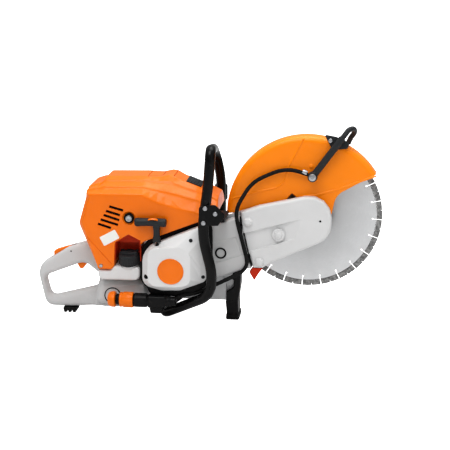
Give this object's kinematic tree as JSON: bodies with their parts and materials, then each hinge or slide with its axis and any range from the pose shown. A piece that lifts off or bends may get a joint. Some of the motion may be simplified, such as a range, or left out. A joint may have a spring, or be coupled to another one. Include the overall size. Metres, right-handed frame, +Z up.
{
  "type": "concrete cut-off saw",
  "caption": "Hand-held petrol cut-off saw with a guarded diamond blade on a belt-driven arm, a loop front handle, a rear grip and a water feed.",
  "frame": {"origin": "centre of the front support foot's sole, on the floor", "axes": "+X forward towards the blade, -Y towards the starter side, +Z up; the blade's middle plane is y = 0"},
  "size_m": [0.825, 0.257, 0.4848],
  "materials": {
    "orange_plastic": "satin moulded",
    "guard_sheet": "orange powder coat",
    "white_plastic": "satin moulded",
    "arm_cover_metal": "light grey paint on a casting",
    "grey_plastic": "fine grained",
    "cast_metal": "cast",
    "muffler_metal": "heat darkened",
    "black_tube": "glossy black coating",
    "black_bracket": "black powder coat",
    "black_rubber": "matt",
    "dark_plastic": "grained",
    "red_plastic": "satin",
    "filter_paper": "pleated paper",
    "machined_steel": "machined",
    "blade_steel": "brushed"
  },
  "bodies": {
    "machine": {"crankcase": "cast_metal", "cylinder": "cast_metal", "spark_plug": "white_plastic", "ignition_module": "dark_plastic", "muffler": "muffler_metal", "carburettor": "cast_metal", "air_filter": "filter_paper", "fan_housing": "grey_plastic", "engine_shroud": "orange_plastic", "fuel_tank": "white_plastic", "starter_cover": "white_plastic", "cover_seal": "black_rubber", "recoil_spring": "machined_steel", "rear_handle": "grey_plastic", "rear_foot": "black_rubber", "front_handle": "black_tube", "handle_bracket_near": "black_bracket", "handle_bracket_far": "black_bracket", "front_leg": "black_bracket", "front_foot": "black_rubber", "arm": "cast_metal", "arm_cover": "arm_cover_metal", "belt_cover": "grey_plastic", "arm_nut_upper": "machined_steel", "arm_nut_middle": "machined_steel", "arm_nut_lower": "machined_steel", "spray_deflector": "red_plastic", "drive_belt": "black_rubber", "crank_bearing": "machined_steel", "spindle_bearing": "machined_steel", "water_coupling": "dark_plastic", "water_hose": "black_rubber"},
    "crankshaft": {"crankshaft_drive_half": "machined_steel", "crankshaft_fan_half": "machined_steel", "flywheel": "cast_metal", "clutch_hub": "machined_steel"},
    "clutch_shoe_front": {"clutch_shoe_front": "machined_steel"},
    "clutch_shoe_rear": {"clutch_shoe_rear": "machined_steel"},
    "clutch_drum": {"clutch_drum": "machined_steel"},
    "blade_assembly": {"blade": "blade_steel", "spindle": "machined_steel", "driven_pulley": "cast_metal", "inner_flange": "machined_steel", "outer_flange": "machined_steel", "arbor_bolt": "machined_steel"},
    "piston": {"piston": "cast_metal", "wrist_pin": "machined_steel"},
    "connecting_rod": {"connecting_rod": "machined_steel", "crank_pin": "machined_steel"},
    "guard": {"guard_shell": "guard_sheet", "guard_bracket": "dark_plastic", "guard_handle": "dark_plastic"},
    "starter_grip": {"starter_grip": "dark_plastic", "starter_rope": "black_rubber"},
    "rope_pulley": {"rope_pulley": "dark_plastic"},
    "fuel_cap": {"fuel_cap": "dark_plastic"},
    "throttle_trigger": {"throttle_trigger": "orange_plastic"},
    "throttle_lockout": {"throttle_lockout": "orange_plastic"},
    "decompression_button": {"decompression_button": "machined_steel"},
    "coupling_sleeve": {"coupling_sleeve": "orange_plastic"}
  },
  "joints": [
    {"name": "crank_spin", "type": "hinge", "parent": "machine", "child": "crankshaft", "pos_m": [-0.136, 0, 0.141], "axis": [0, 1, 0], "continuous": true},
    {"name": "clutch_shoe_front_slide", "type": "slide", "parent": "crankshaft", "child": "clutch_shoe_front", "axis": [1, 0, 0], "range_m": [0, 0.002]},
    {"name": "clutch_shoe_rear_slide", "type": "slide", "parent": "crankshaft", "child": "clutch_shoe_rear", "axis": [-1, 0, 0], "range_m": [0, 0.002]},
    {"name": "blade_spin", "type": "hinge", "parent": "machine", "child": "blade_assembly", "pos_m": [0.173, 0, 0.261], "axis": [0, 1, 0], "continuous": true},
    {"name": "drum_spin", "type": "hinge", "parent": "machine", "child": "clutch_drum", "pos_m": [-0.136, 0, 0.141], "axis": [0, 1, 0], "continuous": true},
    {"name": "piston_stroke", "type": "slide", "parent": "machine", "child": "piston", "axis": [0, 0, 1], "range_m": [-0.036, 0]},
    {"name": "rod_swing", "type": "hinge", "parent": "piston", "child": "connecting_rod", "pos_m": [-0.136, 0.004, 0.227], "axis": [0, 1, 0], "range_deg": [-15.3, 15.3]},
    {"name": "guard_swing", "type": "hinge", "parent": "machine", "child": "guard", "pos_m": [0.173, 0, 0.261], "axis": [0, 1, 0], "range_deg": [-20, 35], "deforming": ["water_hose"]},
    {"name": "starter_pull", "type": "slide", "parent": "machine", "child": "starter_grip", "axis": [0, 0, 1], "range_m": [0, 0.6], "deforming": ["starter_rope"]},
    {"name": "rope_pulley_turn", "type": "hinge", "parent": "machine", "child": "rope_pulley", "pos_m": [-0.136, 0, 0.141], "axis": [0, 1, 0], "range_deg": [0, 1060]},
    {"name": "fuel_cap_turn", "type": "hinge", "parent": "machine", "child": "fuel_cap", "pos_m": [-0.241, -0.062, 0.141], "axis": [0, -0.1908, 0.9816], "range_deg": [0, 90]},
    {"name": "throttle_trigger_squeeze", "type": "hinge", "parent": "machine", "child": "throttle_trigger", "pos_m": [-0.345, 0, 0.139], "axis": [0, 1, 0], "range_deg": [0, 12]},
    {"name": "throttle_lockout_press", "type": "hinge", "parent": "machine", "child": "throttle_lockout", "pos_m": [-0.394, 0, 0.162], "axis": [0, 1, 0], "range_deg": [-6, 0]},
    {"name": "decompression_press", "type": "slide", "parent": "machine", "child": "decompression_button", "axis": [0, 1, 0], "range_m": [0, 0.004]},
    {"name": "coupling_sleeve_slide", "type": "slide", "parent": "machine", "child": "coupling_sleeve", "axis": [-1, 0, 0], "range_m": [0, 0.006]}
  ],
  "couplings": [
    {"joint": "drum_spin", "follows": "blade_spin", "ratio": 1.8636},
    {"joint": "rope_pulley_turn", "follows": "starter_pull", "rad_per_m": 30.769},
    {"joint": "clutch_shoe_rear_slide", "follows": "clutch_shoe_front_slide", "ratio": 1}
  ]
}
